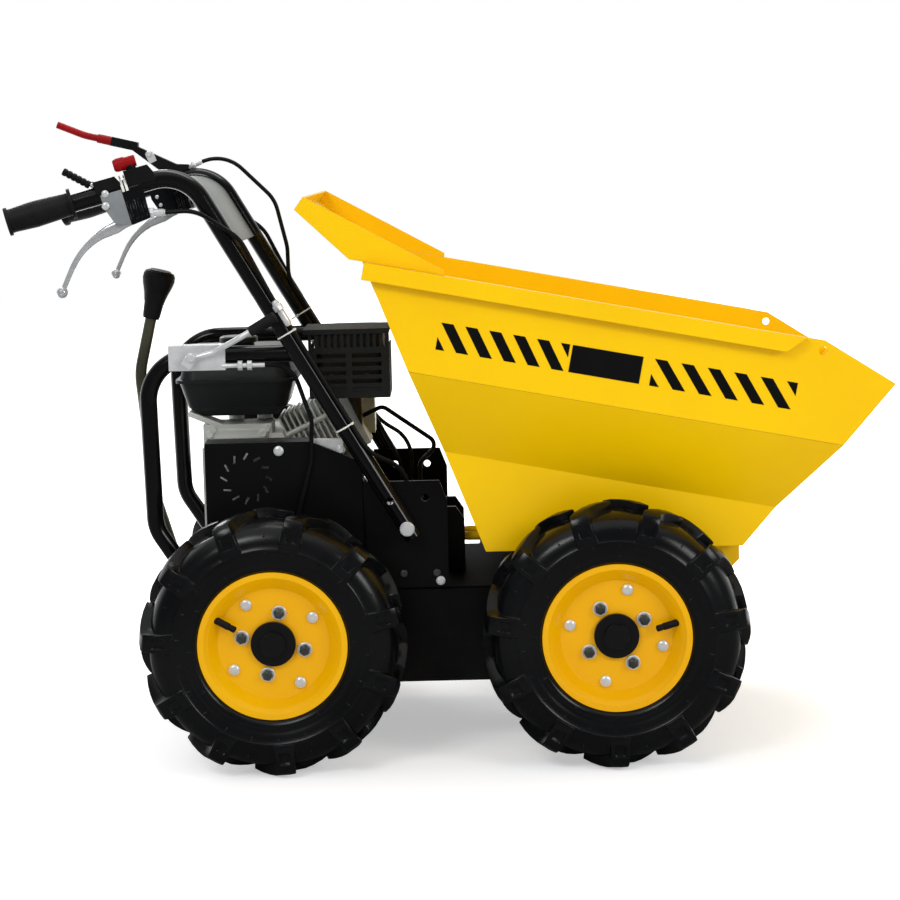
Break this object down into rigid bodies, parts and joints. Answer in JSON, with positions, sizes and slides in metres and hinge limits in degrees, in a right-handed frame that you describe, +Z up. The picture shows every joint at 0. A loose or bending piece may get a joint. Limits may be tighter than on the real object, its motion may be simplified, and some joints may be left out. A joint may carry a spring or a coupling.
{
  "type": "walk behind site dumper with tipping skip",
  "caption": "Walk-behind site dumper: petrol engine and splayed handlebars behind, open tipping skip in front on a hinge, chunky lugged tyres on yellow disc wheels, black sheet chassis.",
  "frame": {"origin": "middle of the bounding box on the ground", "axes": "+X forward to the tipping end, +Y to the machine's left side, +Z up"},
  "size_m": [1.3463, 0.7, 1.0135],
  "materials": {
    "tyre_rubber": "moulded rubber with a soft sheen",
    "rim_yellow": "gloss yellow paint on pressed steel",
    "hub_black": "satin black paint",
    "skip_yellow": "gloss yellow powder coat on sheet steel",
    "frame_black": "gloss black powder coat",
    "gear_grey": "raw casting",
    "zinc_steel": "bright zinc plating",
    "engine_alloy": "die cast alloy",
    "engine_black": "black enamel",
    "muffler_grey": "pressed sheet steel",
    "plastic_black": "moulded black plastic",
    "tube_black": "gloss black powder coat on tube",
    "dash_grey": "pale grey paint",
    "grip_rubber": "soft matt rubber",
    "housing_grey": "grey moulded plastic",
    "lever_chrome": "polished cast alloy",
    "signal_red": "glossy red plastic",
    "rod_olive": "olive grey plating",
    "cable_black": "black cable sheath"
  },
  "bodies": {
    "chassis": {"chassis_pan": "frame_black", "chassis_deck": "frame_black", "gearbox": "gear_grey", "axles": "frame_black", "hinge_pin": "zinc_steel", "tower_plates": "frame_black", "latch_bracket": "frame_black", "engine_bed": "frame_black", "belt_guard": "frame_black", "crankcase": "engine_alloy", "cylinder": "engine_alloy", "fuel_tank": "engine_black", "muffler": "muffler_grey", "muffler_guard": "engine_black", "air_cleaner": "plastic_black", "recoil_starter": "engine_black", "guard_tubes": "tube_black", "handlebars": "tube_black", "handle_bolts": "zinc_steel", "dash_plate": "dash_grey", "grips": "grip_rubber", "lever_housings": "housing_grey", "steering_levers": "lever_chrome", "control_bases": "plastic_black", "dead_lever": "signal_red", "stop_button": "signal_red", "throttle_tab": "plastic_black", "brake_clamp": "zinc_steel", "brake_lever": "zinc_steel", "brake_sleeve": "grip_rubber", "gear_lever": "rod_olive", "gear_knob": "grip_rubber", "control_cables": "cable_black"},
    "skip": {"skip_sides": "skip_yellow", "skip_flanks": "skip_yellow", "skip_pan": "skip_yellow", "skip_hood": "skip_yellow", "skip_brackets": "skip_yellow", "skip_loop": "skip_yellow"},
    "front_right_wheel": {"front_right_tyre": "tyre_rubber", "front_right_rim": "rim_yellow", "front_right_hub": "hub_black"},
    "front_left_wheel": {"front_left_tyre": "tyre_rubber", "front_left_rim": "rim_yellow", "front_left_hub": "hub_black"},
    "rear_right_wheel": {"rear_right_tyre": "tyre_rubber", "rear_right_rim": "rim_yellow", "rear_right_hub": "hub_black"},
    "rear_left_wheel": {"rear_left_tyre": "tyre_rubber", "rear_left_rim": "rim_yellow", "rear_left_hub": "hub_black"}
  },
  "joints": [
    {"name": "front_right_spin", "type": "hinge", "parent": "chassis", "child": "front_right_wheel", "pos_m": [0.2435, -0.297, 0.206], "axis": [0, 1, 0], "continuous": true},
    {"name": "front_left_spin", "type": "hinge", "parent": "chassis", "child": "front_left_wheel", "pos_m": [0.2435, 0.297, 0.206], "axis": [0, 1, 0], "continuous": true},
    {"name": "rear_right_spin", "type": "hinge", "parent": "chassis", "child": "rear_right_wheel", "pos_m": [-0.2815, -0.297, 0.206], "axis": [0, 1, 0], "continuous": true},
    {"name": "rear_left_spin", "type": "hinge", "parent": "chassis", "child": "rear_left_wheel", "pos_m": [-0.2815, 0.297, 0.206], "axis": [0, 1, 0], "continuous": true},
    {"name": "skip_tip", "type": "hinge", "parent": "chassis", "child": "skip", "pos_m": [0.421, 0, 0.292], "axis": [0, 1, 0], "range_deg": [0, 80]}
  ]
}
